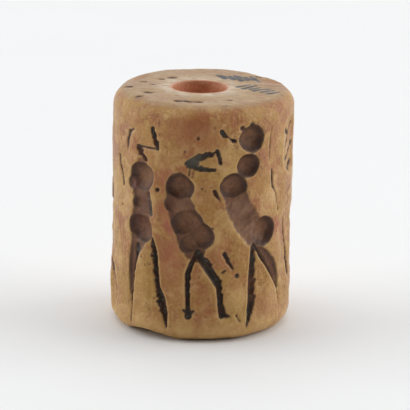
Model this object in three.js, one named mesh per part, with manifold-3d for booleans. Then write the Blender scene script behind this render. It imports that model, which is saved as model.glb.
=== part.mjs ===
// A worn stone cylinder seal, pierced from end to end for a cord. Its side is cut with a frieze of
// standing figures: round pits made with a ball-ended drill are the heads and bodies, and long gouged
// cuts are the limbs. Millimetres. +Z is the seal's axis, it stands on the plane z = 0, and the middle
// of the frieze's best side faces -Y.

import * as THREE from "three";
import { mergeVertices } from "three/addons/utils/BufferGeometryUtils.js";
import Module from "manifold-3d";

const wasm = await Module();
wasm.setup();

// The blank
const HEIGHT = 22.9;
const RADIUS = 8.75;
const EDGE = 1.5; // rounding of the worn upper and lower edges
const BORE_RADIUS = 2.15;
const MOUTH_RADIUS = 2.62; // the bore is worn wider than this drill size at both ends,
const MOUTH_DEEP = 2.6; // and narrows to it over this depth
const BORE_OFF = -0.35; // the bore was drilled this far off the middle, in X
const LOBES_2 = 0.05; // the blank is not quite round: it swells by this much twice in a turn
const LOBES_3 = 0.04; // and by this much three times, most at mid height
const AROUND = 60; // facets in a full turn
const EDGE_STEPS = 3;
const SIDE_STEPS = 3;

// Where the edges are worn down: [turn, spread of the wear in degrees, how far the edge is worn].
const TOP_WEAR = [
  [-85, 38, 0.26],
  [10, 40, 0.12],
  [170, 30, 0.1],
];
const FOOT_WEAR = [
  [70, 25, 0.15],
  [-150, 30, 0.25],
];

// The cutting tools
const STROKE_SIDES = 6; // facets round a gouge
const STROKE_STEP = 1.15; // length of one gouge facet
const STROKE_LIFT = 0.5; // a gouge's bar rides this share of the cut's depth above the surface
const STROKE_BLUNT = 6; // how square-ended a cut is
const BALL_DETAIL = 2; // subdivision of the drill's ball
const CHIP_DETAIL = 5; // and of the larger ball that leaves a flake's hollow

// The frieze. In a figure, places are [across, up]: across is measured along the girth from the
// figure's own middle, to the right, and up from the foot of the seal. A pit is [across, up, mouth
// radius, depth]. A cut is [from, to, width, depth, bow, tip]: bow is how far its middle bends to the
// right, and tip is the share of its width that is left at its far end.
const FIGURES = {
  leftWalker: {
    turn: -40.2,
    pits: [
      [-0.15, 15.8, 1.5, 0.8],
      [-0.1, 13.1, 1.0, 0.6],
      [-0.1, 10.6, 1.5, 0.85],
      [0.1, 18.3, 0.6, 0.35],
    ],
    cuts: [
      [[-0.1, 17.3], [-0.2, 8.6], 2.5, 0.45, 0.0, 0.7],
      [[1.25, 20.6], [2.0, 18.5], 0.45, 0.35, 0.0, 0.9],
      [[-0.6, 18.85], [2.0, 18.65], 0.35, 0.3, 0.0, 0.8],
      [[-1.1, 20.3], [-2.3, 17.7], 0.5, 0.3, -0.3, 0.7],
      [[0.95, 14.2], [1.2, 12.2], 0.7, 0.35, 0.1, 1.0],
      [[-0.7, 9.8], [-1.25, 1.2], 0.85, 0.6, -0.15, 0.5],
      [[1.2, 10.0], [3.0, 1.7], 1.05, 0.65, -0.1, 0.7],
    ],
  },
  middleWalker: {
    turn: -6,
    pits: [
      [-1.2, 15.25, 1.4, 0.8],
      [-0.45, 11.9, 1.5, 0.85],
      [0.7, 10.3, 1.4, 0.85],
      [-0.15, 3.0, 0.5, 0.35],
    ],
    cuts: [
      [[-1.3, 15.5], [-0.8, 11.4], 2.7, 0.5, -0.2, 1.0],
      [[-0.8, 13.4], [0.45, 8.3], 2.5, 0.55, -0.25, 0.7],
      [[-0.3, 17.5], [1.8, 18.45], 1.0, 0.4, 0.0, 0.4],
      [[-0.2, 17.2], [2.25, 16.95], 0.5, 0.35, 0.0, 0.7],
      [[2.2, 18.8], [2.7, 17.6], 0.4, 0.3, 0.0, 0.8],
      [[0.35, 8.9], [-0.2, 2.6], 0.65, 0.5, -0.3, 0.8],
      [[0.3, 9.1], [2.6, 6.1], 0.95, 0.55, 0.0, 0.8],
      [[2.55, 6.9], [3.05, 2.4], 0.85, 0.5, 0.1, 0.8],
      [[2.8, 2.55], [4.0, 2.5], 0.45, 0.35, 0.0, 0.4],
    ],
  },
  rightWalker: {
    turn: 32.4,
    pits: [
      [-0.05, 19.8, 1.35, 0.75],
      [-0.5, 17.2, 1.15, 0.6],
      [-1.85, 15.25, 1.35, 0.7],
      [1.65, 10.45, 1.45, 0.8],
      [-1.9, 19.85, 0.45, 0.35],
    ],
    cuts: [
      [[-0.2, 18.8], [-1.0, 16.2], 1.2, 0.3, 0.0, 1.0],
      [[-1.9, 15.4], [1.0, 9.7], 2.5, 0.55, -0.2, 0.9],
      [[-0.4, 12.2], [2.1, 9.9], 2.2, 0.5, 0.0, 0.9],
      [[-3.1, 20.7], [-2.3, 20.2], 0.5, 0.35, 0.0, 0.6],
      [[0.35, 9.4], [-0.35, 1.3], 0.95, 0.6, 0.35, 0.5],
      [[0.8, 9.6], [4.6, 1.0], 0.8, 0.5, 0.85, 0.5],
    ],
  },
  rightBearer: {
    turn: 80,
    pits: [
      [1.1, 10.6, 1.5, 0.6],
      [1.2, 13.4, 1.1, 0.5],
    ],
    cuts: [
      [[-0.6, 20.9], [-0.6, 15.0], 3.0, 0.85, 0.0, 0.9],
      [[-1.9, 11.9], [0.8, 13.4], 0.35, 0.25, 0.0, 0.8],
      [[-1.8, 10.9], [0.8, 12.2], 0.35, 0.25, 0.0, 0.8],
      [[-1.7, 11.2], [0.3, 5.4], 0.8, 0.4, -0.3, 0.8],
      [[1.0, 9.8], [0.3, 1.5], 0.9, 0.55, 0.3, 0.5],
      [[1.6, 9.8], [3.8, 1.5], 0.9, 0.55, 0.3, 0.5],
    ],
  },
  leftBearer: {
    turn: -94,
    pits: [
      [0.0, 19.6, 1.2, 0.55],
      [0.2, 16.6, 1.35, 0.65],
      [1.3, 12.9, 1.2, 0.5],
      [0.6, 10.3, 1.6, 0.75],
    ],
    cuts: [
      [[0.1, 16.6], [0.9, 10.5], 1.6, 0.4, 0.0, 1.0],
      [[4.1, 16.5], [4.8, 14.9], 0.35, 0.25, 0.0, 0.8],
      [[1.4, 8.6], [4.4, 1.5], 0.95, 0.55, 0.8, 0.5],
      [[-0.1, 9.4], [-0.8, 1.4], 0.9, 0.55, -0.2, 0.5],
    ],
  },
};

// The strokes that stand between the figures, measured from the middle of the best side.
const LOOSE_CUTS = [
  [[2.3, 8.55], [3.2, 7.3], 0.45, 0.3, 0.0, 0.8],
  [[7.5, 20.5], [7.15, 17.3], 0.3, 0.2, -0.1, 0.8],
  [[7.55, 16.5], [7.7, 14.7], 0.45, 0.3, 0.0, 0.6],
  [[8.2, 14.2], [8.9, 12.2], 0.35, 0.25, 0.0, 0.8],
];

// The far side repeats one plain figure. Sizes are shares of the figure's height.
const PLAIN_TURNS = [136, -144];
const PLAIN_TALL = 19.0;
const PLAIN_FOOT = 1.5;

// Flakes lost from the edges of the two ends: [turn, end, radius of the flake's hollow, bite].
const CHIPS = [
  [-37, "foot", 6.0, 0.85],
  [115, "top", 6.0, 0.34],
  [-120, "top", 5.0, 0.3],
];
const CHIP_OUT = 7.8; // how far the middle of a flake is from the axis

const degrees = THREE.MathUtils.radToDeg;
const clamp = THREE.MathUtils.clamp;

// A point at a turn round the axis, a height and a distance out from the axis.
function around(turn, up, out = RADIUS) {
  const angle = THREE.MathUtils.degToRad(turn);
  return new THREE.Vector3(out * Math.sin(angle), -out * Math.cos(angle), up);
}

function toSolid(geometry) {
  const bare = geometry.index ? geometry.toNonIndexed() : geometry.clone();
  bare.deleteAttribute("normal");
  bare.deleteAttribute("uv");
  const merged = mergeVertices(bare, 1e-4);
  const mesh = new wasm.Mesh({
    numProp: 3,
    vertProperties: new Float32Array(merged.attributes.position.array),
    triVerts: new Uint32Array(merged.index.array),
  });
  return new wasm.Manifold(mesh);
}

function toGeometry(solid) {
  const mesh = solid.getMesh();
  const geometry = new THREE.BufferGeometry();
  geometry.setAttribute("position", new THREE.BufferAttribute(mesh.vertProperties, 3));
  geometry.setIndex(new THREE.BufferAttribute(mesh.triVerts, 1));
  geometry.computeVertexNormals();
  return geometry;
}

// Moves each vertex of a geometry to where the function puts it.
function reshape(geometry, place) {
  const position = geometry.attributes.position;
  const point = new THREE.Vector3();
  for (let i = 0; i < position.count; i++) {
    point.fromBufferAttribute(position, i);
    const moved = place(point);
    position.setXYZ(i, moved.x, moved.y, moved.z);
  }
  return geometry;
}

// The points of the rounding at one end of the blank, from one angle to another, in degrees.
function corner(centreUp, from, to) {
  const points = [];
  for (let i = 0; i <= EDGE_STEPS; i++) {
    const angle = THREE.MathUtils.degToRad(from + ((to - from) * i) / EDGE_STEPS);
    const out = RADIUS - EDGE + EDGE * Math.cos(angle);
    points.push(new THREE.Vector2(out, centreUp + EDGE * Math.sin(angle)));
  }
  return points;
}

// How far the blank swells past its nominal radius.
function swell(turn, up) {
  const angle = THREE.MathUtils.degToRad(turn);
  const belly = Math.sin((Math.PI * up) / HEIGHT);
  return LOBES_2 * Math.cos(2 * angle) + LOBES_3 * belly * Math.cos(3 * angle + 1);
}

// How far an edge is worn down at this turn.
function wear(places, turn) {
  let sum = 0;
  for (const [middle, spread, amount] of places) {
    const away = ((turn - middle + 540) % 360) - 180;
    sum += amount * Math.exp(-((away / spread) ** 2));
  }
  return sum;
}

// The pierced cylinder, before any carving.
function blank() {
  const side = [];
  for (let i = 1; i < SIDE_STEPS; i++) {
    side.push(new THREE.Vector2(RADIUS, EDGE + ((HEIGHT - 2 * EDGE) * i) / SIDE_STEPS));
  }
  const profile = [
    ...corner(EDGE, -90, 0),
    ...side,
    ...corner(HEIGHT - EDGE, 0, 90),
    new THREE.Vector2(MOUTH_RADIUS, HEIGHT),
    new THREE.Vector2(BORE_RADIUS, HEIGHT - MOUTH_DEEP),
    new THREE.Vector2(BORE_RADIUS, MOUTH_DEEP),
    new THREE.Vector2(MOUTH_RADIUS, 0),
  ];
  profile.push(profile[0].clone());
  const geometry = new THREE.LatheGeometry(profile, AROUND).rotateX(Math.PI / 2);
  const flatOut = RADIUS - EDGE;
  return reshape(geometry, (p) => {
    const out = Math.hypot(p.x, p.y);
    const turn = degrees(Math.atan2(p.x, -p.y));
    const rim = clamp((out - flatOut) / EDGE, 0, 1);
    const drop = rim * wear(TOP_WEAR, turn) * clamp(1 - (HEIGHT - p.z) / 4, 0, 1);
    const lift = rim * wear(FOOT_WEAR, turn) * clamp(1 - p.z / 4, 0, 1);
    const place = around(turn, p.z - drop + lift, out + rim * (swell(turn, p.z) - drop / 3 - lift / 3));
    place.x += out < flatOut - 1 ? BORE_OFF : 0;
    return place;
  });
}

// The ball that leaves a pit of this mouth radius and depth in the side.
function drill(turn, up, mouth, depth) {
  const ball = (mouth * mouth + depth * depth) / (2 * depth);
  const centre = around(turn, up, RADIUS - depth + ball);
  return new THREE.IcosahedronGeometry(ball, BALL_DETAIL).translate(centre.x, centre.y, centre.z);
}

// The bar that leaves a gouged cut in the side: a round bar bent along the cut and thinned to its ends.
function gouge(turn, from, to, width, depth, bow, tip) {
  const length = Math.hypot(to[0] - from[0], to[1] - from[1]);
  const steps = Math.max(4, Math.round(length / STROKE_STEP));
  const bar = new THREE.CylinderGeometry(1, 1, 1, STROKE_SIDES, steps);
  const along = new THREE.Vector2(to[0] - from[0], to[1] - from[1]).divideScalar(length);
  const right = new THREE.Vector2(along.y, -along.x);
  const belly = right.x < 0 ? -bow : bow;
  const lift = STROKE_LIFT * depth;
  const tall = depth + lift;
  const wide = width / 2 / Math.sqrt(1 - (lift / tall) ** 2);
  return reshape(bar, (p) => {
    const share = p.y + 0.5;
    const end = Math.abs(2 * share - 1);
    const full = (1 + (tip - 1) * share) * Math.max(0.2, Math.sqrt(1 - end ** STROKE_BLUNT));
    const bend = belly * Math.sin(Math.PI * share) + p.x * wide * full;
    const across = from[0] + along.x * length * share + right.x * bend;
    const up = from[1] + along.y * length * share + right.y * bend;
    const out = RADIUS + full * (lift + p.z * tall);
    return around(turn + degrees(across / RADIUS), up, out);
  });
}

// The hollow of a flake struck from the edge of one end.
function flake(turn, end, hollow, bite) {
  const up = end === "foot" ? bite - hollow : HEIGHT - bite + hollow;
  const centre = around(turn, up, CHIP_OUT);
  return new THREE.IcosahedronGeometry(hollow, CHIP_DETAIL).translate(centre.x, centre.y, centre.z);
}

// The plain figure of the far side: head, shoulders, hips and two legs.
function plainFigure(turn) {
  const at = (across, share) => [across, PLAIN_FOOT + PLAIN_TALL * share];
  return {
    turn,
    pits: [
      [...at(-0.4, 0.92), 1.2, 0.55],
      [...at(0.0, 0.74), 1.4, 0.65],
      [...at(0.3, 0.48), 1.5, 0.65],
    ],
    cuts: [
      [at(0.0, 0.68), at(0.3, 0.5), 1.4, 0.45, 0.0, 1.0],
      [at(-0.3, 0.44), at(-1.3, 0.0), 0.85, 0.5, -0.2, 0.5],
      [at(0.9, 0.44), at(2.2, 0.0), 0.85, 0.5, 0.3, 0.5],
      [at(-1.1, 0.7), at(-2.9, 0.62), 0.45, 0.3, 0.0, 0.6],
    ],
  };
}

function cutters() {
  const tools = [];
  for (const figure of [...Object.values(FIGURES), ...PLAIN_TURNS.map(plainFigure)]) {
    for (const [across, up, mouth, depth] of figure.pits) {
      tools.push(drill(figure.turn + degrees(across / RADIUS), up, mouth, depth));
    }
    for (const cut of figure.cuts) {
      tools.push(gouge(figure.turn, ...cut));
    }
  }
  for (const cut of LOOSE_CUTS) {
    tools.push(gouge(0, ...cut));
  }
  for (const chip of CHIPS) {
    tools.push(flake(...chip));
  }
  return tools;
}

function carvedSeal() {
  let solid = toSolid(blank());
  for (const tool of cutters()) {
    solid = solid.subtract(toSolid(tool));
  }
  // Cuts that meet can leave loose crumbs between them, so only the largest body is kept.
  solid = solid.decompose().sort((a, b) => b.volume() - a.volume())[0];
  const stone = new THREE.MeshStandardMaterial({ color: 0xb08a5e, roughness: 0.6, metalness: 0 });
  const mesh = new THREE.Mesh(toGeometry(solid), stone);
  mesh.name = "cylinder_seal";
  return mesh;
}

const seal = new THREE.Group();
seal.add(carvedSeal());

export default seal;
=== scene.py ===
"""A worn stone cylinder seal, standing on its end on a pale floor.

The side is worked as a rolled-out map of how deep each place is cut. The figures are laid out on it with a
maker's tools: a ball-ended drill for heads and bodies, a round gouge for limbs and a point for fine lines.
The map is then wrapped round the blank. Sizes on the seal are in millimetres, turns are in degrees round
the axis from the middle of the best side, to its right, and heights are from the foot.
"""
import itertools
import math

import bpy
import numpy as np
from mathutils import Matrix, Vector


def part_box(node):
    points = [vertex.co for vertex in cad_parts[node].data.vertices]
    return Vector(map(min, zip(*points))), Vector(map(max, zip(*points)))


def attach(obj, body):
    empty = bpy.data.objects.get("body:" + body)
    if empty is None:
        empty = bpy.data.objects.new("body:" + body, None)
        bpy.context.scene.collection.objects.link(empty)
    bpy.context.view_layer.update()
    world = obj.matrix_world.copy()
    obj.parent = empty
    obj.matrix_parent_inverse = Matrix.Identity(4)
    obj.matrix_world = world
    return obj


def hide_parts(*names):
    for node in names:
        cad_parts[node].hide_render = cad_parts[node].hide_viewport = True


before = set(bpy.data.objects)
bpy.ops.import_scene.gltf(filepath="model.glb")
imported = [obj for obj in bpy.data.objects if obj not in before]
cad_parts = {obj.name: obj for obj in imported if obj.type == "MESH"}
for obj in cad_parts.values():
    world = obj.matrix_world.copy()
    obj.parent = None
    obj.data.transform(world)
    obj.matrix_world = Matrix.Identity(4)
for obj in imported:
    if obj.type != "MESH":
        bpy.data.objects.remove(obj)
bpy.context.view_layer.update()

MM = 0.001

# The blank
HEIGHT = round(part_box("cylinder_seal")[1][2] / MM, 3)
RADIUS = 8.75
EDGE = 1.5  # rounding of the worn upper and lower edges
BORE_RADIUS = 2.15
MOUTH_RADIUS = 2.62  # the bore is worn wider than the drill at both ends,
MOUTH_DEEP = 2.6  # and narrows to it over this depth
MOUTH_EDGE = 0.12  # rounding where it meets each end
BORE_OFF = -0.35  # the bore was drilled this far off the middle, in X
LOBES_2 = 0.05  # the blank swells by this much twice in a turn
LOBES_3 = 0.04  # and by this much three times, most at mid height

# Where the edges are worn down: (turn, spread of the wear in degrees, how far the edge is worn)
TOP_WEAR = [(-85, 38, 0.26), (10, 40, 0.12), (170, 30, 0.10)]
FOOT_WEAR = [(70, 25, 0.15), (-150, 30, 0.25)]

# Flakes lost from the edges of the two ends: (turn, end, radius of the flake's hollow, bite)
CHIPS = [(-37, "foot", 6.0, 0.85), (115, "top", 6.0, 0.34), (-120, "top", 5.0, 0.30)]
CHIP_OUT = 7.8  # how far the middle of a flake is from the axis

WEAR_REACH = 4  # the wear of an edge fades out over this height

# How uneven the surface is: (size of the lumps, their height, seed)
UNEVEN = [(5.0, 0.09, 11), (1.9, 0.08, 12), (0.7, 0.022, 13), (0.3, 0.012, 14)]

# The mesh
COLUMNS = 372
FRONT_CROWDING = 0.33  # how much closer the columns stand on the best side than on average
SIDE_ROWS = 172
TOP_EDGE_ROWS = 15
FOOT_EDGE_ROWS = 11
TOP_ROWS = 22
FOOT_ROWS = 6
MOUTH_ROWS = 3
FLARE_ROWS = 9
BORE_ROWS = 8

# The rolled-out map of the side
MAP_STEP = 0.05
GIRTH = 2 * math.pi * RADIUS
MAP_COLUMNS = round(GIRTH / MAP_STEP)
MAP_ROWS = round(HEIGHT / MAP_STEP) + 1
turn_map, up_map = np.meshgrid(
    np.arange(MAP_COLUMNS) * 360 / MAP_COLUMNS, np.linspace(0, HEIGHT, MAP_ROWS)
)


# ---------------------------------------------------------------- noise

def scrambled(index, seed):
    """An even spread of values from 0 to 1, one for each whole-numbered cell."""
    h = index[0] * np.uint64(73856093) ^ index[1] * np.uint64(19349663) ^ index[2] * np.uint64(83492791)
    h = (h ^ np.uint64(seed * 2654435761 % 2**32)) & np.uint64(0xFFFFFFFF)
    for _ in range(2):
        h = ((h ^ (h >> np.uint64(15))) * np.uint64(2246822519)) & np.uint64(0xFFFFFFFF)
    return (h ^ (h >> np.uint64(13))).astype(np.float64) / 2**32


def grain(place, size, seed):
    """Smooth noise from -1 to 1, with lumps about one size across."""
    cell = place / size + 500.0
    low = np.floor(cell)
    part = cell - low
    part = part * part * (3 - 2 * part)
    low = low.astype(np.uint64)
    total = 0
    for corner in itertools.product((0, 1), repeat=3):
        weight = 1
        for axis, step in enumerate(corner):
            weight = weight * (part[axis] if step else 1 - part[axis])
        total = total + weight * scrambled([low[a] + np.uint64(corner[a]) for a in range(3)], seed)
    return 2 * total - 1


def on_blank(turn, up, out=RADIUS):
    """The place at a turn, a height and a distance from the axis."""
    angle = np.radians(turn)
    return np.stack([out * np.sin(angle), -out * np.cos(angle), up + 0 * angle])


map_place = on_blank(turn_map, up_map)
hand_wobble = grain(map_place, 1.1, 1)
ragged_edge = 0.6 * grain(map_place, 0.34, 2) + 0.4 * grain(map_place, 0.17, 3)


def softened(field, reach):
    """The field with its corners worn over about this many millimetres."""
    spread = reach / MAP_STEP
    taps = np.arange(-math.ceil(2.5 * spread), math.ceil(2.5 * spread) + 1)
    weights = np.exp(-((taps / spread) ** 2))
    weights /= weights.sum()
    turned = sum(w * np.roll(field, t, axis=1) for w, t in zip(weights, taps))
    padded = np.pad(turned, ((len(taps) // 2,) * 2, (0, 0)), mode="edge")
    return sum(w * padded[i:i + MAP_ROWS] for i, w in enumerate(weights))


# ---------------------------------------------------------------- the maker's tools

LIP_WIDE = 0.2
LIP_TALL = 0.06
PINHOLE = 0.4  # pits up to this mouth radius hold the dark earth of the cuts
SHOULDER_SPREAD = 3.2  # the worn shoulder beside a limb is this much wider than it
SHOULDER_SHARE = 0.36  # and goes down this share of its depth


def across_from(turn):
    return RADIUS * np.radians((turn_map - turn + 540) % 360 - 180)


def drill_pit(field, turn, up, mouth, depth):
    """The bowl that a ball-ended drill leaves."""
    away = np.hypot(across_from(turn), up_map - up) * (1 + 0.09 * hand_wobble + 0.04 * ragged_edge)
    ball = (mouth**2 + depth**2) / (2 * depth)
    bowl = np.sqrt(np.maximum(ball**2 - away**2, 0)) - (ball - depth)
    np.maximum(field, bowl, out=field)


def gouge_cut(field, path, ragged=0.0, shape=2.5, keen=0, keen_share=1.0, lips=None):
    """A trench along a path of (turn, up, width, depth) places.

    On its keen side, 1 for the left of the way the path runs and -1 for the right, the trench has a
    clean edge, this share of its half width, and, where lips is given, a raised lip.
    """
    for (turn, up, wide, deep), (turn_2, up_2, wide_2, deep_2) in zip(path, path[1:]):
        run = RADIUS * math.radians(turn_2 - turn)
        rise = up_2 - up
        across = across_from(turn)
        climb = up_map - up
        share = np.clip((across * run + climb * rise) / (run**2 + rise**2), 0, 1)
        away = np.hypot(across - share * run, climb - share * rise)
        clean = (climb * run - across * rise) * keen > 0
        half = (wide + (wide_2 - wide) * share) / 2 * (1 + ragged * np.where(clean, 0.2, 1) * ragged_edge)
        half = half * np.where(clean, keen_share, 1)
        trench = (deep + (deep_2 - deep) * share) * (1 - (away / half) ** shape)
        np.maximum(field, trench, out=field)
        if lips is not None:
            np.maximum(lips, clean * np.exp(-(((away - half) / LIP_WIDE) ** 2)), out=lips)


# ---------------------------------------------------------------- the figures
# Pits are (turn, up, mouth radius, depth). Trunks, limbs and lines are paths of (turn, up, width, depth).
# A limb is (keen side, path): see gouge_cut. Beds are broad recesses given in the same way, and ribs are
# (path, count).

LEFT_WALKER = {
    "pits": [
        (-40.7, 15.65, 1.5, 0.95),
        (-48.4, 14.95, 0.65, 0.4),
        (-42.6, 13.1, 0.8, 0.6),
        (-41.4, 10.7, 1.5, 1.0),
    ],
    "trunk": [
        [(-40.1, 17.0, 1.5, 0.16), (-41.6, 15.5, 2.7, 0.3), (-40.7, 13.2, 1.9, 0.34), (-41.6, 10.8, 2.7, 0.34),
         (-43.5, 9.4, 2.0, 0.3), (-46.6, 8.2, 1.5, 0.3), (-48.2, 7.0, 1.3, 0.3), (-49.0, 5.4, 0.95, 0.28),
         (-49.0, 4.0, 0.6, 0.2)],
    ],
    "limbs": [
        (1, [(-44.8, 8.8, 0.9, 0.3), (-46.2, 7.6, 0.6, 0.38), (-47.2, 5.5, 0.6, 0.42), (-48.1, 3.2, 0.4, 0.36),
             (-48.1, 1.2, 0.2, 0.15)]),
        (1, [(-31.7, 9.9, 0.4, 0.25), (-30.6, 8.7, 0.85, 0.5), (-28.6, 6.9, 0.7, 0.5), (-27.2, 5.3, 0.65, 0.5),
             (-25.2, 4.2, 1.05, 0.52), (-22.5, 2.8, 0.75, 0.46), (-20.8, 1.5, 0.2, 0.2)]),
        (0, [(-34.9, 14.2, 0.45, 0.18), (-33.0, 12.3, 0.55, 0.26)]),
    ],
    "lines": [
        [(-47.4, 20.2, 0.26, 0.14), (-51.7, 19.8, 0.5, 0.2), (-54.1, 18.9, 0.6, 0.22), (-54.6, 17.7, 0.2, 0.1)],
        [(-32.3, 20.6, 0.5, 0.3), (-31.3, 20.1, 0.62, 0.36), (-29.6, 19.4, 0.55, 0.34), (-27.8, 18.7, 0.42, 0.3)],
        [(-43.8, 18.7, 0.26, 0.2), (-38.0, 18.65, 0.22, 0.18), (-28.3, 18.7, 0.26, 0.22)],
        [(-43.2, 18.5, 0.6, 0.3), (-40.5, 18.0, 0.9, 0.36), (-37.6, 17.5, 0.5, 0.3)],
    ],
}

MIDDLE_WALKER = {
    "pits": [
        (-14.0, 15.1, 1.4, 0.95),
        (-18.3, 13.6, 0.85, 0.5),
        (-8.8, 11.8, 1.5, 1.0),
        (-0.7, 10.5, 1.4, 1.0),
        (-6.2, 9.9, 1.2, 0.8),
    ],
    "trunk": [
        [(-14.2, 15.6, 2.3, 0.3), (-14.2, 13.9, 2.6, 0.38), (-10.3, 12.2, 2.8, 0.42), (-5.5, 10.4, 2.9, 0.44),
         (-3.7, 9.2, 2.1, 0.36), (-2.6, 8.6, 1.2, 0.28)],
    ],
    "limbs": [
        (-1, [(-2.2, 8.8, 0.6, 0.3), (-5.5, 7.9, 0.5, 0.36), (-7.7, 6.9, 0.55, 0.42), (-7.8, 5.2, 0.45, 0.4),
              (-7.4, 3.7, 0.45, 0.4), (-7.3, 2.7, 0.7, 0.32)]),
        (-1, [(-1.5, 8.8, 0.9, 0.4), (3.4, 7.8, 0.9, 0.46), (9.3, 6.4, 0.85, 0.46), (12.0, 5.6, 0.7, 0.44),
              (13.0, 3.9, 0.7, 0.44), (14.2, 2.7, 0.75, 0.42)]),
        (0, [(-10.0, 3.2, 0.35, 0.2), (-7.1, 2.9, 0.5, 0.3), (-3.8, 3.2, 0.3, 0.18)]),
        (0, [(14.2, 2.6, 0.6, 0.34), (18.9, 2.6, 0.3, 0.15)]),
        (0, [(-7.1, 17.55, 1.1, 0.34), (-4.0, 17.65, 1.1, 0.34)]),
        (0, [(-4.7, 17.9, 0.8, 0.34), (1.0, 18.4, 0.7, 0.34), (5.5, 18.5, 0.55, 0.3)]),
        (0, [(-4.0, 17.2, 0.6, 0.34), (2.0, 17.0, 0.45, 0.3), (8.0, 17.0, 0.34, 0.22)]),
    ],
    "lines": [
        [(9.2, 18.8, 0.4, 0.28), (10.4, 18.4, 0.5, 0.3), (11.5, 17.6, 0.36, 0.22)],
        [(5.5, 18.5, 0.35, 0.2), (9.2, 18.75, 0.3, 0.2)],
        [(-7.5, 16.9, 0.26, 0.16), (-8.0, 16.4, 0.2, 0.1)],
    ],
}

RIGHT_WALKER = {
    "pits": [
        (32.6, 19.75, 1.4, 0.95),
        (29.7, 17.2, 1.2, 0.85),
        (20.2, 15.3, 1.4, 0.9),
        (24.6, 13.5, 1.1, 0.5),
        (29.4, 11.9, 1.15, 0.5),
        (43.3, 10.5, 1.5, 1.0),
        (25.4, 20.9, 0.3, 0.22),
        (32.3, 21.15, 0.3, 0.22),
    ],
    "trunk": [
        [(19.7, 15.2, 2.4, 0.3), (24.1, 13.2, 2.7, 0.34), (30.4, 11.6, 2.9, 0.36), (36.0, 10.4, 2.6, 0.34),
         (36.6, 9.4, 1.0, 0.2)],
        [(36.8, 9.4, 0.5, 0.16), (44.0, 8.2, 1.1, 0.3), (50.6, 7.1, 1.2, 0.32), (56.6, 5.6, 1.0, 0.28),
         (60.6, 4.4, 0.6, 0.2)],
    ],
    "ribs": [([(28.0, 12.5, 2.4, 0.05), (33.0, 11.1, 2.6, 0.09), (38.5, 10.0, 2.6, 0.09)], 5)],
    "limbs": [
        (-1, [(34.2, 9.1, 0.5, 0.28), (34.5, 7.4, 0.9, 0.42), (34.9, 5.9, 1.1, 0.5), (35.3, 4.4, 1.15, 0.5),
              (33.7, 2.8, 0.9, 0.46), (30.8, 1.4, 0.25, 0.2)]),
        (-1, [(36.0, 9.3, 0.35, 0.25), (41.6, 8.1, 0.5, 0.38), (47.9, 6.9, 0.55, 0.4), (54.6, 5.4, 0.5, 0.4),
              (59.3, 4.4, 0.45, 0.4), (61.4, 3.0, 0.3, 0.28), (60.4, 1.2, 0.16, 0.14)]),
        (0, [(12.4, 20.65, 0.5, 0.32), (13.4, 20.4, 0.5, 0.3), (16.3, 20.1, 0.16, 0.1), (19.7, 19.75, 0.45, 0.3),
             (20.6, 19.7, 0.45, 0.3)]),
        (0, [(8.1, 14.85, 0.45, 0.24), (9.4, 14.5, 0.4, 0.2), (11.8, 14.0, 0.25, 0.12)]),
    ],
    "lines": [],
}

RIGHT_BEARER = {
    "pits": [(89.3, 10.6, 1.6, 0.66), (90.0, 13.4, 1.1, 0.5)],
    "trunk": [],
    "beds": [(-1, [(74.4, 19.0, 3.8, 0.32), (74.4, 17.1, 3.8, 0.32)])],
    "limbs": [
        (0, [(88.7, 9.9, 0.8, 0.4), (86.5, 5.6, 0.9, 0.5), (84.0, 1.5, 0.4, 0.3)]),
        (0, [(92.5, 9.9, 0.8, 0.4), (101.0, 6.0, 0.9, 0.5), (107.0, 1.5, 0.4, 0.3)]),
    ],
    "lines": [
        [(76.0, 13.9, 0.3, 0.16), (64.0, 13.1, 0.18, 0.1)],
        [(76.0, 12.9, 0.3, 0.16), (66.4, 12.1, 0.18, 0.1)],
        [(66.2, 11.2, 0.2, 0.16), (68.4, 9.4, 0.3, 0.26), (71.5, 7.0, 0.4, 0.32), (76.0, 5.0, 0.3, 0.25)],
        [(70.0, 20.2, 0.5, 0.18), (70.5, 19.4, 0.6, 0.22), (79.0, 18.9, 0.4, 0.16)],
        [(82.0, 19.9, 0.5, 0.16), (75.0, 18.5, 0.6, 0.2), (70.5, 17.8, 0.4, 0.16)],
        [(84.0, 17.8, 0.6, 0.2), (76.0, 17.0, 0.6, 0.2), (71.0, 16.5, 0.4, 0.16)],
        [(82.0, 16.2, 0.5, 0.16), (74.0, 15.6, 0.5, 0.16)],
    ],
}

LEFT_BEARER = {
    "pits": [(-94.0, 19.6, 1.2, 0.52), (-92.7, 16.6, 1.35, 0.6), (-85.3, 12.9, 1.2, 0.46), (-90.0, 10.3, 1.6, 0.7)],
    "trunk": [
        [(-93.3, 16.6, 1.7, 0.36), (-87.0, 13.2, 2.0, 0.36), (-88.0, 10.5, 2.0, 0.36)],
    ],
    "beds": [
        (1, [(-84.0, 6.4, 1.6, 0.25), (-77.0, 4.8, 2.9, 0.3), (-75.0, 3.4, 3.0, 0.3), (-73.0, 2.0, 2.0, 0.25)]),
    ],
    "limbs": [
        (0, [(-87.0, 8.6, 0.8, 0.3), (-87.0, 5.6, 0.6, 0.24), (-81.0, 4.2, 0.6, 0.24), (-75.0, 3.0, 0.6, 0.24),
             (-73.0, 1.9, 0.3, 0.16)]),
        (0, [(-94.7, 9.4, 0.8, 0.4), (-97.0, 5.4, 0.9, 0.5), (-99.3, 1.4, 0.4, 0.3)]),
    ],
    "lines": [
        [(-64.3, 17.1, 0.3, 0.2), (-63.6, 16.1, 0.36, 0.24), (-61.0, 15.2, 0.3, 0.18), (-59.7, 14.4, 0.36, 0.22)],
    ],
}

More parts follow.
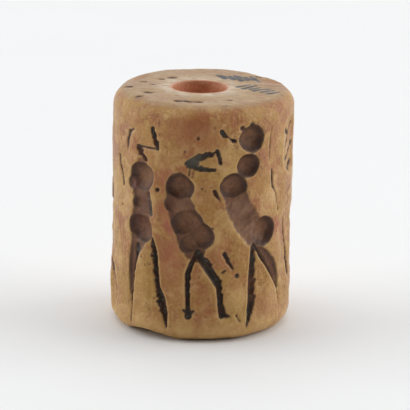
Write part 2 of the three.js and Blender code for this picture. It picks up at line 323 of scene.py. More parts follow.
BETWEEN = {
    "pits": [
        (-28.3, 14.75, 0.26, 0.22),
        (-2.5, 20.1, 0.22, 0.16),
        (-10.5, 18.7, 0.18, 0.12),
        (0.3, 15.2, 0.2, 0.12),
        (7.2, 11.3, 0.22, 0.14),
        (23.5, 6.55, 0.26, 0.2),
        (-61.4, 12.3, 0.2, 0.14),
        (-30.0, 7.3, 0.16, 0.1),
    ],
    "trunk": [],
    "limbs": [
        (0, [(15.3, 8.75, 0.5, 0.3), (17.3, 8.1, 0.46, 0.3), (20.6, 7.3, 0.24, 0.18)]),
        (0, [(13.7, 6.95, 0.25, 0.14), (15.6, 7.1, 0.3, 0.16)]),
        (0, [(23.6, 2.6, 0.26, 0.16), (25.7, 2.0, 0.2, 0.14)]),
    ],
    "lines": [
        [(48.8, 20.6, 0.16, 0.12), (47.7, 19.5, 0.2, 0.16), (47.5, 18.6, 0.2, 0.16), (46.6, 17.3, 0.16, 0.12)],
        [(49.3, 16.4, 0.24, 0.16), (49.9, 15.6, 0.38, 0.26), (49.8, 14.8, 0.34, 0.22), (52.9, 14.2, 0.18, 0.12),
         (55.1, 13.8, 0.24, 0.16), (56.5, 12.9, 0.16, 0.12), (57.7, 12.2, 0.24, 0.16)],
    ],
}


def plain_walker(turn, lean):
    """A figure of the far side, on the seal's own proportions."""
    def at(across, share, *size):
        return (turn + lean * math.degrees(across / RADIUS), 1.5 + 19.0 * share, *size)
    return {
        "pits": [at(-0.4, 0.92, 1.2, 0.55), at(0.0, 0.74, 1.4, 0.62), at(0.3, 0.48, 1.5, 0.64)],
        "trunk": [[at(-0.1, 0.82, 1.6, 0.3), at(0.0, 0.66, 1.8, 0.38), at(0.3, 0.48, 2.0, 0.38)]],
        "limbs": [
            (lean, [at(-0.2, 0.43, 0.7, 0.35), at(-0.9, 0.2, 0.85, 0.5), at(-1.3, 0.0, 0.3, 0.2)]),
            (lean, [at(0.8, 0.43, 0.7, 0.35), at(1.7, 0.2, 0.85, 0.5), at(2.2, 0.0, 0.3, 0.2)]),
        ],
        "lines": [[at(-1.1, 0.7, 0.4, 0.24), at(-2.9, 0.62, 0.25, 0.15)]],
    }


# Broad shallow valleys, where the surface was dressed down beside the limbs
DRESSED = [
    [(-58.0, 20.0, 2.0, 0.10), (-60.0, 13.0, 2.4, 0.16), (-59.0, 8.5, 2.6, 0.12)],
    [(-53.0, 8.5, 2.0, 0.16), (-53.0, 3.0, 2.2, 0.18)],
    [(-24.0, 17.5, 2.0, 0.06), (-24.0, 12.5, 1.6, 0.12), (-19.0, 8.0, 2.0, 0.10), (-16.0, 3.0, 2.4, 0.08)],
    [(6.0, 15.0, 2.6, 0.10), (14.0, 11.0, 2.4, 0.10), (22.0, 7.0, 2.4, 0.08)],
    [(42.0, 6.0, 2.0, 0.12), (42.0, 3.0, 2.4, 0.12)],
    [(68.0, 10.8, 3.0, 0.26), (68.0, 6.5, 2.6, 0.16), (66.0, 2.5, 2.6, 0.12)],
    [(53.5, 20.0, 2.2, 0.10), (55.0, 16.0, 2.2, 0.14), (60.0, 12.0, 2.0, 0.10)],
]


def ribbed(path, count):
    """Soft ribs that run across a trunk, this many along its path."""
    field = np.zeros_like(turn_map)
    gouge_cut(field, path, 0.0, 4)
    (turn, up, *_), (turn_2, up_2, *_) = path[0], path[-1]
    run, rise = RADIUS * math.radians(turn_2 - turn), up_2 - up
    share = (across_from(turn) * run + (up_map - up) * rise) / (run**2 + rise**2)
    bend = 0.3 * ragged_edge + 0.15 * hand_wobble
    return field * (0.5 + 0.5 * np.sin(2 * math.pi * (count * share + bend)))


def carve():
    """The depth of the frieze, and how much of it is drilled hollow and how much is cut."""
    hollow, cut, beds, shoulders, dressed, lips, ribs = (np.zeros_like(turn_map) for _ in range(7))
    figures = [LEFT_WALKER, MIDDLE_WALKER, RIGHT_WALKER, RIGHT_BEARER, LEFT_BEARER, BETWEEN,
               plain_walker(136, 1), plain_walker(-144, -1)]
    for figure in figures:
        for trunk in figure["trunk"]:
            gouge_cut(hollow, trunk, 0.12, 4)
        for pit in figure["pits"]:
            drill_pit(hollow if pit[2] > PINHOLE else cut, *pit)
        for keen, bed in figure.get("beds", []):
            gouge_cut(beds, bed, 0.05, 5, keen, 1.0, lips)
        for path, count in figure.get("ribs", []):
            ribs += ribbed(path, count)
        for keen, limb in figure["limbs"]:
            gouge_cut(cut, limb, 0.75, 2.5, keen, 1.0, lips)
            broad = [(turn, up, SHOULDER_SPREAD * wide, SHOULDER_SHARE * deep) for turn, up, wide, deep in limb]
            gouge_cut(shoulders, broad, 0.2, 2, keen, 0.3 if keen else 1)
        for line in figure["lines"]:
            gouge_cut(cut, line, 0.7)
    for valley in DRESSED:
        gouge_cut(dressed, valley, 0.0, 2)
    hollow = softened(hollow - ribs * (hollow > 0.15), 0.055)
    cut = softened(cut, 0.045)
    depth = hollow + softened(beds, 0.06) + cut * (1 - 0.35 * np.clip(hollow / 0.4, 0, 1))
    depth += softened(shoulders, 0.12) + softened(dressed, 0.4)
    return depth - LIP_TALL * softened(lips * (hollow < 0.05), 0.06), hollow, cut, softened(lips, 0.05)


depth_map, hollow_map, cut_map, lip_map = carve()
steepness = np.hypot(*np.gradient(softened(hollow_map, 0.05), MAP_STEP))
mark_maps = {
    "hollow": np.clip(hollow_map / 0.3, 0, 1),
    "deep": np.clip(hollow_map / 0.95, 0, 1),
    "cut": np.clip(cut_map / 0.22, 0, 1),
    "cavity": np.clip((depth_map - softened(depth_map, 0.35)) / 0.14, 0, 1),
    "wall": np.clip(steepness / 1.4, 0, 1),
    # paler on convex edges and lips: worn, and partly a painted highlight
    "pale_edge_wear_and_highlight": np.clip((softened(depth_map, 0.14) - depth_map) / 0.05 + 0.6 * lip_map, 0, 1),
}


def read_map(field, turn, up):
    """The map's value at any turn and height."""
    column = np.mod(turn, 360) * MAP_COLUMNS / 360
    row = np.clip(up, 0, HEIGHT) / HEIGHT * (MAP_ROWS - 1)
    left = np.floor(column).astype(int)
    low = np.minimum(np.floor(row).astype(int), MAP_ROWS - 2)
    across, climb = column - left, row - low
    left, right = left % MAP_COLUMNS, (left + 1) % MAP_COLUMNS
    lower = field[low, left] * (1 - across) + field[low, right] * across
    upper = field[low + 1, left] * (1 - across) + field[low + 1, right] * across
    return lower * (1 - climb) + upper * climb


# ---------------------------------------------------------------- the blank's surface

def wear(places, turn):
    total = 0
    for middle, spread, amount in places:
        away = (turn - middle + 540) % 360 - 180
        total = total + amount * np.exp(-((away / spread) ** 2))
    return total


def swell(turn, up):
    angle = np.radians(turn)
    belly = np.sin(np.pi * up / HEIGHT)
    return LOBES_2 * np.cos(2 * angle) + LOBES_3 * belly * np.cos(3 * angle + 1)


def corner(out, up, radius, start, end, rows):
    """Rows round an edge: distance out, height and the way the surface faces, (out, up)."""
    angle = np.radians(np.linspace(start, end, rows + 1))
    return [(out + radius * math.cos(a), up + radius * math.sin(a), math.cos(a), math.sin(a)) for a in angle]


def straight(start, end, rows, facing):
    """Rows between two places, without its ends."""
    return [
        (start[0] + (end[0] - start[0]) * i / rows, start[1] + (end[1] - start[1]) * i / rows, *facing)
        for i in range(1, rows)
    ]


def profile():
    """The blank's outline as one closed loop, from the foot's outer edge upwards."""
    flat = RADIUS - EDGE
    mouth = MOUTH_RADIUS + MOUTH_EDGE
    taper = math.degrees(math.atan2(MOUTH_RADIUS - BORE_RADIUS, MOUTH_DEEP))
    slope = math.cos(math.radians(taper)), math.sin(math.radians(taper))
    rows = corner(flat, EDGE, EDGE, -90, 0, FOOT_EDGE_ROWS)
    rows += straight((RADIUS, EDGE), (RADIUS, HEIGHT - EDGE), SIDE_ROWS, (1, 0))
    rows += corner(flat, HEIGHT - EDGE, EDGE, 0, 90, TOP_EDGE_ROWS)
    rows += straight((flat, HEIGHT), (mouth, HEIGHT), TOP_ROWS, (0, 1))
    rows += corner(mouth, HEIGHT - MOUTH_EDGE, MOUTH_EDGE, 90, 180 - taper, MOUTH_ROWS)
    rows += straight(rows[-1][:2], (BORE_RADIUS, HEIGHT - MOUTH_DEEP), FLARE_ROWS, (-slope[0], slope[1]))
    rows += straight((BORE_RADIUS, HEIGHT - MOUTH_DEEP), (BORE_RADIUS, MOUTH_DEEP), BORE_ROWS, (-1, 0))
    foot_mouth = corner(mouth, MOUTH_EDGE, MOUTH_EDGE, 180 + taper, 270, MOUTH_ROWS)
    rows += straight((BORE_RADIUS, MOUTH_DEEP), foot_mouth[0][:2], FLARE_ROWS, (-slope[0], -slope[1]))
    rows += foot_mouth
    rows += straight((mouth, 0), (flat, 0), FOOT_ROWS, (0, -1))
    return np.array(rows)


# Small losses on the upper end: (x, y, radius, depth)
TOP_NICKS = [
    (-2.8, 3.65, 0.65, 0.14), (-3.9, 2.9, 0.5, 0.12), (-5.05, -2.5, 0.7, 0.15), (-6.0, -4.1, 0.55, 0.13),
    (-7.0, -0.45, 0.6, 0.14), (-2.3, -5.75, 0.6, 0.15), (-1.3, -5.8, 0.65, 0.17), (-0.3, -5.75, 0.55, 0.15),
    (5.4, 4.6, 0.6, 0.10), (-4.6, 0.6, 0.45, 0.10), (-5.6, 1.7, 0.5, 0.12), (2.6, -5.2, 0.4, 0.10),
]


def flaked(place, facing_up, roughness):
    """Heights of the surface once the flakes are gone from the two ends."""
    up = place[2]
    for turn, end, hollow, bite in CHIPS:
        x, y, _ = on_blank(np.float64(turn), 0, CHIP_OUT)
        away = (place[0] - x) ** 2 + (place[1] - y) ** 2
        rise = np.sqrt(np.maximum(hollow**2 - away, 0)) - (hollow - bite) + roughness
        struck = (rise > 0) & (away < hollow**2)
        if end == "foot":
            up = np.where(struck & (facing_up < 0), np.maximum(up, rise), up)
        else:
            up = np.where(struck & (facing_up > 0), np.minimum(up, HEIGHT - rise), up)
    return up


def seal_surface():
    """Places of the seal's surface in millimetres, and what each place is like."""
    rows = profile()
    u = np.arange(COLUMNS) / COLUMNS
    turns = 360 * u - math.degrees(FRONT_CROWDING) * np.sin(2 * math.pi * u)
    turn, out = np.meshgrid(turns, rows[:, 0])
    up, face_out, face_up = (np.repeat(rows[:, i:i + 1], COLUMNS, axis=1) for i in (1, 2, 3))

    rim = np.clip((out - (RADIUS - EDGE)) / EDGE, 0, 1)
    drop = rim * wear(TOP_WEAR, turn) * np.clip(1 - (HEIGHT - up) / WEAR_REACH, 0, 1)
    lift = rim * wear(FOOT_WEAR, turn) * np.clip(1 - up / WEAR_REACH, 0, 1)
    body_out = out + rim * (swell(turn, up) - drop / 3 - lift / 3)
    body_up = up - drop + lift

    outside = np.clip(face_out, 0, 1)
    plain = on_blank(turn, body_up, body_out)
    sunk = outside * read_map(depth_map, turn, up)
    for size, height, seed in UNEVEN:
        sunk = sunk + height * grain(plain, size, seed)

    top = np.clip(face_up, 0, 1) * (out > MOUTH_RADIUS)
    nick = np.zeros_like(sunk)
    for x, y, radius, deep in TOP_NICKS:
        away = np.hypot(plain[0] - x, (plain[1] - y) * 1.6) * (1 + 0.3 * grain(plain, 0.4, 15))
        nick = np.maximum(nick, deep * np.clip(1 - (away / radius) ** 2, 0, 1))
    sunk = sunk + top * nick

    final_out = body_out - sunk * face_out
    final_up = np.clip(body_up - sunk * face_up, 0, HEIGHT)
    place = on_blank(turn, final_up, final_out)
    place[2] = flaked(place, face_up, 0.02 * grain(plain, 0.6, 16))
    flat, mouth = RADIUS - EDGE, MOUTH_RADIUS
    place[0] += BORE_OFF * np.clip((flat - out) / (flat - mouth), 0, 1)

    marks = {name: outside * read_map(field, turn, up) for name, field in mark_maps.items()}
    marks["cut"] = np.maximum(marks["cut"], top * nick / 0.14)
    return place, marks


def make_seal():
    place, marks = seal_surface()
    rows, columns = place.shape[1:]
    mesh = bpy.data.meshes.new("seal_stone")
    points = (place * MM).reshape(3, -1).T
    index = np.arange(rows * columns).reshape(rows, columns)
    next_row = np.roll(index, -1, axis=0)
    quads = np.stack([index, np.roll(index, -1, axis=1), np.roll(next_row, -1, axis=1), next_row], axis=-1)
    mesh.from_pydata(points.tolist(), [], quads.reshape(-1, 4).tolist())
    mesh.polygons.foreach_set("use_smooth", [True] * len(mesh.polygons))
    for name, values in marks.items():
        mesh.attributes.new(name, "FLOAT", "POINT").data.foreach_set("value", values.ravel().astype(np.float32))
    mesh.update()
    seal = bpy.data.objects.new("seal_stone", mesh)
    bpy.context.scene.collection.objects.link(seal)
    return seal


# ---------------------------------------------------------------- materials

def tone(red, green, blue):
    """A colour from 0 to 255 a channel, as the shader wants it."""
    def channel(c):
        c /= 255
        return c / 12.92 if c <= 0.04045 else ((c + 0.055) / 1.055) ** 2.4
    return (channel(red), channel(green), channel(blue), 1)


class Bench:
    """A node tree being wired up."""

    def __init__(self, tree):
        self.tree = tree

    def set(self, socket, value):
        if isinstance(value, bpy.types.NodeSocket):
            self.tree.links.new(value, socket)
        else:
            socket.default_value = value

    def add(self, kind, inputs=(), **settings):
        node = self.tree.nodes.new(kind)
        for name, value in settings.items():
            setattr(node, name, value)
        for name, value in dict(inputs).items():
            self.set(node.inputs[name], value)
        return node

    def math(self, operation, a, b=0.0, c=0.0):
        return self.add("ShaderNodeMath", {0: a, 1: b, 2: c}, operation=operation).outputs[0]

    def vector(self, operation, a, b=(0, 0, 0), out=0, **more):
        node = self.add("ShaderNodeVectorMath", {0: a, 1: b}, operation=operation)
        for name, value in more.items():
            self.set(node.inputs[name], value)
        return node.outputs[out]

    def ramp(self, value, low, high, start=0.0, end=1.0):
        return self.add(
            "ShaderNodeMapRange", {0: value, 1: low, 2: high, 3: start, 4: end}, interpolation_type="SMOOTHSTEP"
        ).outputs[0]

    def noise(self, place, size, detail=2.0, rough=0.5, skew=0.0):
        node = self.add(
            "ShaderNodeTexNoise",
            {"Vector": place, "Scale": 1 / size, "Detail": detail, "Roughness": rough, "Distortion": skew},
        )
        return node.outputs["Fac"]

    def mix(self, share, a, b, kind="MIX"):
        node = self.tree.nodes.new("ShaderNodeMix")
        node.data_type, node.blend_type = "RGBA", kind
        self.set(node.inputs["Factor"], share)
        self.set(node.inputs[6], a)
        self.set(node.inputs[7], b)
        return node.outputs[2]

    def mark(self, name):
        return self.add("ShaderNodeAttribute", attribute_name=name, attribute_type="GEOMETRY").outputs["Fac"]


def socket(group, name, way, kind="NodeSocketFloat", value=None):
    made = group.interface.new_socket(name=name, in_out=way, socket_type=kind)
    if value is not None:
        made.default_value = value


def pen_stroke_group():
    """One stroke of a pen: a mask that is 1 under the ink, on a line between two places."""
    group = bpy.data.node_groups.new("pen stroke", "ShaderNodeTree")
    for name in ("Place", "Start", "End"):
        socket(group, name, "INPUT", "NodeSocketVector")
    socket(group, "Width", "INPUT", value=0.3)
    socket(group, "Mask", "OUTPUT")
    bench = Bench(group)
    given = bench.add("NodeGroupInput").outputs
    made = bench.add("NodeGroupOutput")
    line = bench.vector("SUBTRACT", given["End"], given["Start"])
    reach = bench.vector("SUBTRACT", given["Place"], given["Start"])
    along = bench.math("DIVIDE", bench.vector("DOT_PRODUCT", reach, line, 1), bench.vector("DOT_PRODUCT", line, line, 1))
    along = bench.add("ShaderNodeClamp", {0: along}).outputs[0]
    on_line = bench.vector("SCALE", line, Scale=along)
    away = bench.vector("LENGTH", bench.vector("SUBTRACT", reach, on_line), out=1)
    bleed = bench.math("MULTIPLY", bench.math("SUBTRACT", bench.noise(given["Place"], 0.22, 3, 0.7), 0.5), 0.42)
    half = bench.math("MULTIPLY", given["Width"], bench.math("SUBTRACT", 0.62, bench.math("MULTIPLY", along, 0.25)))
    edge = bench.math("SUBTRACT", half, bench.math("ADD", away, bleed))
    bench.set(made.inputs["Mask"], bench.ramp(edge, -0.05, 0.06))
    return group


# Old ink on the upper end, in two slanting rows of short strokes that stand side by side and say nothing:
# (middle of the first stroke, middle of the last, strokes, length, lean in degrees), in X and Y
INK_ROWS = [((1.7, 4.2), (5.0, 3.6), 7, 2.0, 118), ((3.9, 0.8), (6.7, -1.9), 6, 1.7, 35)]
INK_WIDTH = 0.46


def ink_strokes():
    """Start, end and width of each stroke of ink."""
    for first, last, count, length, lean in INK_ROWS:
        for i in range(count):
            share = i / (count - 1)
            x, y = (a + (b - a) * share for a, b in zip(first, last))
            reach = length * (0.42 + 0.1 * math.sin(2.4 * i))
            angle = math.radians(lean + 9 * math.sin(1.7 * i))
            dx, dy = reach * math.cos(angle), reach * math.sin(angle)
            yield (x - dx, y - dy), (x + dx, y + dy), INK_WIDTH * (1 + 0.2 * math.sin(3.1 * i))



BUFF = tone(168, 117, 56)
OCHRE = tone(170, 127, 52)
RUST = tone(152, 86, 42)
PALE = tone(200, 160, 98)
CHALK_AND_SHEEN = tone(162, 134, 98)
UMBER = tone(106, 64, 36)
DUST_AND_LIT_MIDDLE = tone(138, 94, 62)
DARK_EARTH_AND_SHADE = tone(70, 42, 26)
SOOT = tone(52, 42, 34)
GREEN_EARTH = tone(96, 96, 84)
OLIVE = tone(106, 88, 54)
CHALK_WHITE = tone(208, 190, 164)
BORE_RED = tone(200, 126, 88)
INK_BLACK = tone(20, 24, 32)
STAIN_RED = tone(150, 46, 40)
RED_EARTH_AND_SHADE = tone(92, 44, 26)
PINK_DUST_AND_LIGHT = tone(146, 106, 78)
BLUE_GREY = tone(88, 92, 92)

# Soft stains on the side: (turn, up, radius, strength, colour)
STAINS = [
    (-19.5, 11.6, 1.2, 0.8, STAIN_RED),
    (-21.1, 12.9, 0.8, 0.3, STAIN_RED),
    (-9.8, 20.3, 3.0, 0.5, RUST),
    (2.0, 21.0, 2.6, 0.4, RUST),
    (3.9, 14.0, 2.4, 0.2, RUST),
    (8.0, 10.5, 1.8, 0.5, PALE),
    (-19.6, 7.0, 2.6, 0.5, RUST),
    (-17.7, 9.5, 1.4, 0.4, RUST),
    (4.9, 4.0, 2.6, 0.35, RUST),
    (46.9, 3.0, 2.4, 0.5, RUST),
    (52.0, 11.0, 1.3, 0.6, STAIN_RED),
    (13.8, 17.5, 2.4, 0.35, PALE),
    (-39.2, 5.0, 2.2, 0.35, OCHRE),
    (-31.0, 14.0, 1.2, 0.4, PALE),
    (39.2, 15.5, 2.0, 0.4, OCHRE),
    (-23.5, 15.5, 2.2, 0.8, RUST),
    (-24.0, 12.5, 1.8, 0.7, RUST),
    (-24.0, 9.6, 2.0, 0.7, RUST),
    (20.0, 12.0, 2.0, 0.4, PALE),
    (47.0, 13.5, 1.8, 0.5, PALE),
    (54.0, 4.0, 2.0, 0.4, PALE),
    (24.0, 4.2, 1.8, 0.5, PALE),
    (-64.0, 13.5, 3.0, 0.5, PALE),
    (68.0, 19.0, 2.6, 0.5, PALE),
]

# What has gathered in the hollows and cuts, laid out in the same way. The red-brown spots on one wall of a pit are
# also painted shade, and the pink ones on its other wall painted light.
SETTLED_EARTH_AND_WALL_SHADE = [
    (-37.5, 15.8, 1.1, 0.75, PINK_DUST_AND_LIGHT),
    (-47.0, 14.8, 1.1, 0.8, RED_EARTH_AND_SHADE),
    (-43.5, 10.9, 1.7, 0.9, RED_EARTH_AND_SHADE),
    (-38.0, 10.4, 1.0, 0.5, PINK_DUST_AND_LIGHT),
    (-40.5, 18.0, 0.9, 0.7, RED_EARTH_AND_SHADE),
    (-40.0, 13.2, 1.2, 0.45, RED_EARTH_AND_SHADE),
    (-48.0, 6.4, 1.5, 0.6, RED_EARTH_AND_SHADE),
    (-14.0, 13.3, 1.0, 0.5, PINK_DUST_AND_LIGHT),
    (-18.0, 13.6, 0.9, 0.5, RED_EARTH_AND_SHADE),
    (-6.3, 17.5, 0.7, 0.85, BLUE_GREY),
    (-3.0, 17.7, 1.6, 0.6, GREEN_EARTH),
    (20.6, 19.7, 0.5, 0.85, BLUE_GREY),
    (30.0, 19.9, 0.9, 0.5, PINK_DUST_AND_LIGHT),
    (28.0, 17.2, 0.9, 0.45, PINK_DUST_AND_LIGHT),
    (26.5, 13.0, 1.6, 0.55, PINK_DUST_AND_LIGHT),
    (33.0, 11.0, 1.4, 0.45, PINK_DUST_AND_LIGHT),
    (39.5, 10.6, 0.8, 0.5, PINK_DUST_AND_LIGHT),
    (46.5, 10.4, 1.1, 0.6, RED_EARTH_AND_SHADE),
    (36.8, 5.4, 2.0, 0.9, UMBER),
    (50.0, 7.2, 1.6, 0.6, UMBER),
]


def soft_stain_group():
    """A soft-edged spot: a mask that fades from its strength at the middle to nothing."""
    group = bpy.data.node_groups.new("soft stain", "ShaderNodeTree")
    for name in ("Place", "Middle"):
        socket(group, name, "INPUT", "NodeSocketVector")
    socket(group, "Radius", "INPUT", value=1.0)
    socket(group, "Strength", "INPUT", value=0.5)
    socket(group, "Mask", "OUTPUT")
    bench = Bench(group)
    given = bench.add("NodeGroupInput").outputs
    made = bench.add("NodeGroupOutput")
    away = bench.vector("LENGTH", bench.vector("SUBTRACT", given["Place"], given["Middle"]), out=1)
    patchy = bench.math("SUBTRACT", bench.noise(given["Place"], 1.1, 4, 0.65), 0.5)
    away = bench.math("DIVIDE", away, given["Radius"])
    away = bench.math("ADD", away, bench.math("MULTIPLY", patchy, 1.6))
    bench.set(made.inputs["Mask"], bench.math("MULTIPLY", bench.ramp(away, 1.0, 0.2), given["Strength"]))
    return group


def spot(bench, stain, place, turn, height, radius, strength):
    """The mask of one soft spot on the side, used for the stains and for the spots in the hollows."""
    middle = tuple(float(v) for v in on_blank(np.float64(turn), height, RADIUS))
    inputs = {"Place": place, "Middle": middle, "Radius": radius, "Strength": strength}
    return bench.add("ShaderNodeGroup", inputs, node_tree=stain).outputs["Mask"]


def side_colour(bench, place, up, speck, freckle, stain):
    """Mottled and stained stone, paler near the foot."""
    colour = bench.mix(bench.ramp(bench.noise(place, 4.0, 3), 0.38, 0.62), BUFF, OCHRE)
    colour = bench.mix(bench.ramp(bench.noise(place, 2.6, 4, 0.65, 0.4), 0.46, 0.62, 0, 0.8), colour, RUST)
    colour = bench.mix(bench.ramp(bench.noise(place, 1.5, 4, 0.65), 0.48, 0.66, 0, 0.6), colour, PALE)
    colour = bench.mix(bench.ramp(speck, 0.30, 0.5, 0.6, 0), colour, RUST)
    colour = bench.mix(bench.ramp(speck, 0.52, 0.72, 0, 0.6), colour, PALE)
    colour = bench.mix(bench.ramp(freckle, 0.62, 0.72, 0, 0.75), colour, UMBER)
    for *where, stain_colour in STAINS:
        colour = bench.mix(spot(bench, stain, place, *where), colour, stain_colour)
    patchy = bench.ramp(bench.noise(place, 2.0, 4), 0.35, 0.6, 0.3, 0.8)
    return bench.mix(bench.math("MULTIPLY", bench.ramp(up, 3.2, 0.8), patchy), colour, PALE)


def end_colour(bench, colour, place, flat, up, speck):
    """The upper end's greyer tone, partly painted sheen from the light above, its chalky ring and scuffs, the pale
    edges beside the cuts, worn and partly a painted highlight, and the red bore.
    """
    from_bore = bench.vector("LENGTH", bench.vector("SUBTRACT", flat, (BORE_OFF, 0, 0)), out=1)
    # Greyer, paler tone over the upper end: painted sheen of the light from above, laid over the worn end's own
    # pale tone
    ends = bench.ramp(up, HEIGHT - 0.5, HEIGHT - 0.05, 0, 0.6)
    colour = bench.mix(ends, colour, CHALK_AND_SHEEN)
    ring = bench.math("MULTIPLY", ends, bench.ramp(from_bore, 4.8, 3.0))
    ring = bench.math("MULTIPLY", ring, bench.ramp(bench.noise(flat, 1.6, 3), 0.35, 0.6, 0.2, 1.3))
    colour = bench.mix(ring, colour, CHALK_WHITE)
    scuff = bench.noise(bench.vector("MULTIPLY", place, (0.55, 1.6, 0.3)), 0.75, 4, 0.65, 0.3)
    scuff = bench.math("MULTIPLY", ends, bench.ramp(scuff, 0.58, 0.72, 0, 1.1))
    colour = bench.mix(scuff, colour, OLIVE)
    # Pale convex edges and lips beside the cuts: worn, and partly a painted highlight
    colour = bench.mix(bench.math("MULTIPLY", bench.mark("pale_edge_wear_and_highlight"), 0.55), colour, PALE)
    uneven = bench.math("ADD", from_bore, bench.math("MULTIPLY", speck, 0.9))
    return bench.mix(bench.ramp(uneven, 3.6, 2.9, 0, 0.9), colour, BORE_RED)


def earth_colour(bench, colour, place, speck, freckle, stain):
    """Dust and earth in the pits and cuts, painted shade on the pit walls and in concave places, painted light in
    the deep middles of the pits, and masks of the pits and of the cuts.
    """
    grime_and_shade_patches = bench.noise(place, 0.6, 4, 0.65)
    hollow = bench.ramp(bench.mark("hollow"), 0.1, 0.7, 0, 0.95)
    # Paler in the deep middles of the pits: painted light, beside the painted shade on their walls; elsewhere paler
    # patches at random
    patches_and_lit_middles = bench.math("ADD", bench.noise(place, 0.9, 4, 0.6), bench.math("MULTIPLY", bench.mark("deep"), 0.25))
    pit_dust_and_light = bench.mix(bench.ramp(patches_and_lit_middles, 0.5, 0.85), UMBER, DUST_AND_LIT_MIDDLE)
    pit_dust_and_light = bench.mix(bench.ramp(speck, 0.35, 0.6, 0.5, 0), pit_dust_and_light, DARK_EARTH_AND_SHADE)
    colour = bench.mix(hollow, colour, pit_dust_and_light)
    # Darker in concave places: painted shade, together with some earth gathered there
    colour = bench.mix(bench.math("MULTIPLY", bench.mark("cavity"), 0.45), colour, UMBER)
    # Darker on the steep walls of the pits: painted shade, a shaded ring round each pit
    steep = bench.ramp(bench.mark("wall"), 0.25, 0.85)
    wall = bench.math("MULTIPLY", steep, bench.ramp(grime_and_shade_patches, 0.3, 0.6, 0.5, 1.0))
    colour = bench.mix(wall, colour, DARK_EARTH_AND_SHADE)
    uneven = bench.math("MULTIPLY", bench.math("SUBTRACT", grime_and_shade_patches, 0.5), 0.9)
    fill = bench.math("ADD", bench.mark("cut"), uneven)
    colour = bench.mix(bench.ramp(fill, 0.05, 0.5, 0, 0.7), colour, UMBER)
    cut = bench.ramp(fill, 0.28, 0.72, 0, 0.95)
    soot = bench.mix(bench.ramp(bench.noise(place, 0.9, 4, 0.65), 0.42, 0.6), SOOT, DARK_EARTH_AND_SHADE)
    soot = bench.mix(bench.ramp(freckle, 0.56, 0.68, 0, 0.6), soot, GREEN_EARTH)
    colour = bench.mix(cut, colour, soot)
    inside = bench.math("MAXIMUM", hollow, cut)
    # Earth in the hollows and cuts, partly painted shade and painted light on the pit walls
    for *where, spot_colour_and_shade in SETTLED_EARTH_AND_WALL_SHADE:
        mask = bench.math("MULTIPLY", inside, spot(bench, stain, place, *where))
        colour = bench.mix(mask, colour, spot_colour_and_shade)
    return colour, hollow, cut


def ink_mask(bench, flat, up, speck):
    """Where the old ink lies on the upper end."""
    pen = pen_stroke_group()
    ink = 0.0
    for start, end, width in ink_strokes():
        inputs = {"Place": flat, "Start": (*start, 0), "End": (*end, 0), "Width": width}
        stroke = bench.add("ShaderNodeGroup", node_tree=pen)
        for name, value in inputs.items():
            bench.set(stroke.inputs[name], value)
        ink = bench.math("MAXIMUM", ink, stroke.outputs["Mask"])
    ink = bench.math("MULTIPLY", ink, bench.ramp(up, HEIGHT - 1.2, HEIGHT - 0.7))
    return bench.math("MULTIPLY", ink, bench.ramp(speck, 0.3, 0.5, 0.85, 1.0))


def stone_finish():
    """Buff limestone, worn smooth, with earth in the cuts, ink on the end and a red stain."""
    material = bpy.data.materials.new("worn buff stone")
    material.use_nodes = True
    bench = Bench(material.node_tree)
    shader = material.node_tree.nodes["Principled BSDF"]
    place = bench.vector("SCALE", bench.add("ShaderNodeTexCoord").outputs["Object"], Scale=1 / MM)
    up = bench.add("ShaderNodeSeparateXYZ", {0: place}).outputs["Z"]
    flat = bench.vector("MULTIPLY", place, (1, 1, 0))
    speck = bench.noise(place, 0.30, 4, 0.7)
    freckle = bench.noise(bench.vector("ADD", place, (31, 17, 5)), 0.5, 3, 0.5)
    stain = soft_stain_group()

    colour = side_colour(bench, place, up, speck, freckle, stain)
    colour = end_colour(bench, colour, place, flat, up, speck)
    colour, hollow, cut = earth_colour(bench, colour, place, speck, freckle, stain)
    colour = bench.mix(ink_mask(bench, flat, up, speck), colour, INK_BLACK)
    bench.set(shader.inputs["Base Color"], colour)

    rough = bench.ramp(bench.noise(place, 0.9, 3), 0.3, 0.7, 0.30, 0.44)
    dull = bench.math("MAXIMUM", cut, bench.math("MULTIPLY", hollow, 0.6))
    bench.set(shader.inputs["Roughness"], bench.math("ADD", rough, bench.math("MULTIPLY", dull, 0.3)))
    shader.inputs["Specular IOR Level"].default_value = 0.5

    bump_height = bench.math("ADD", bench.noise(place, 0.6, 5, 0.65), bench.math("MULTIPLY", speck, 0.5))
    bump = bench.add("ShaderNodeBump", {"Strength": 0.8, "Distance": 0.00015, "Height": bump_height})
    bench.set(shader.inputs["Normal"], bump.outputs[0])
    return material


def plain_finish(name, colour, roughness):
    material = bpy.data.materials.new(name)
    material.use_nodes = True
    tree = material.node_tree
    bench = Bench(tree)
    shader = tree.nodes["Principled BSDF"]
    place = bench.add("ShaderNodeTexCoord").outputs["Object"]
    cloud = bench.ramp(bench.noise(place, 0.03, 3), 0.3, 0.7)
    bench.set(shader.inputs["Base Color"], bench.mix(cloud, colour, tuple(c * 0.99 for c in colour[:3]) + (1,)))
    shader.inputs["Roughness"].default_value = roughness
    shader.inputs["Specular IOR Level"].default_value = 0.2
    return material


# ---------------------------------------------------------------- stage, lights and camera

TENT_GLOW = 0.93
TENT_OPENING = 0.08

CAMERA_PITCH = 15.9
CAMERA_AWAY = 0.260
CAMERA_ROLL = 0.94
CAMERA_LENS = 236.5
CAMERA_SHIFT = (0.0089, -0.0071)


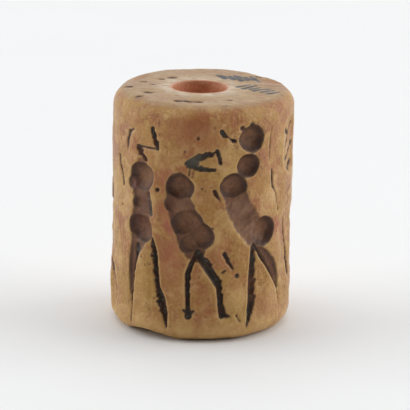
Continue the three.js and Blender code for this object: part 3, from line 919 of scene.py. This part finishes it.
def make_camera():
    pitch, roll = math.radians(CAMERA_PITCH), math.radians(CAMERA_ROLL)
    back = Vector((0, -math.cos(pitch), math.sin(pitch)))
    level = Vector((1, 0, 0))
    rise = back.cross(level)
    right = level * math.cos(roll) + rise * math.sin(roll)
    upward = rise * math.cos(roll) - level * math.sin(roll)
    camera = bpy.data.objects.new("camera", bpy.data.cameras.new("camera"))
    camera.matrix_world = Matrix((
        (right.x, upward.x, back.x, back.x * CAMERA_AWAY),
        (right.y, upward.y, back.y, back.y * CAMERA_AWAY),
        (right.z, upward.z, back.z, back.z * CAMERA_AWAY + HEIGHT * MM / 2),
        (0, 0, 0, 1),
    ))
    camera.data.lens = CAMERA_LENS
    camera.data.shift_x, camera.data.shift_y = CAMERA_SHIFT
    camera.data.clip_start = 0.01
    bpy.context.scene.collection.objects.link(camera)
    bpy.context.scene.camera = camera


def soft_light(name, place, size, power, colour=(1, 1, 1)):
    data = bpy.data.lights.new(name, "AREA")
    data.shape = "RECTANGLE"
    data.size, data.size_y = size
    data.energy = power
    data.color = colour
    light = bpy.data.objects.new(name, data)
    light.location = place
    light.rotation_euler = (Vector((0, 0, 0.011)) - Vector(place)).to_track_quat("-Z", "Y").to_euler()
    bpy.context.scene.collection.objects.link(light)


def light_tent():
    """A white tent, brightest at the back and open towards the front."""
    world = bpy.context.scene.world or bpy.data.worlds.new("light tent")
    bpy.context.scene.world = world
    world.use_nodes = True
    bench = Bench(world.node_tree)
    sight = bench.add("ShaderNodeTexCoord").outputs["Generated"]
    toward = bench.add("ShaderNodeSeparateXYZ", {0: sight}).outputs
    sides = bench.ramp(toward["Y"], -0.75, 0.15, 0, 0.5)
    back = bench.ramp(toward["Y"], 0.25, 0.7, 0, 0.5)
    glow = bench.math("MAXIMUM", bench.math("ADD", sides, back), bench.ramp(toward["Z"], 0.3, 0.9, 0, 0.45))
    background = world.node_tree.nodes["Background"]
    background.inputs["Color"].default_value = (0.98, 0.99, 1.0, 1)
    bench.set(background.inputs["Strength"], bench.ramp(glow, 0, 1, TENT_OPENING, TENT_GLOW))


def make_stage():
    half = 1.5
    mesh = bpy.data.meshes.new("floor")
    mesh.from_pydata([(-half, -half, 0), (half, -half, 0), (half, half, 0), (-half, half, 0)], [], [(0, 1, 2, 3)])
    floor = bpy.data.objects.new("floor", mesh)
    mesh.materials.append(plain_finish("pale floor", (0.83, 0.835, 0.84, 1), 0.7))
    bpy.context.scene.collection.objects.link(floor)
    light_tent()
    soft_light("left lamp", (-0.90, 0.05, 0.30), (0.9, 1.0), 6.8, (1, 0.995, 0.985))
    soft_light("right lamp", (0.90, 0.05, 0.30), (0.9, 1.0), 7.9, (1, 0.995, 0.985))
    soft_light("roof lamp", (0.0, 0.18, 1.2), (1.1, 1.1), 4.0, (1, 1, 1))
    bpy.context.scene.view_settings.view_transform = "Standard"


make_camera()
make_stage()
seal = make_seal()
seal.data.materials.append(stone_finish())
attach(seal, "root")
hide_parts("cylinder_seal")
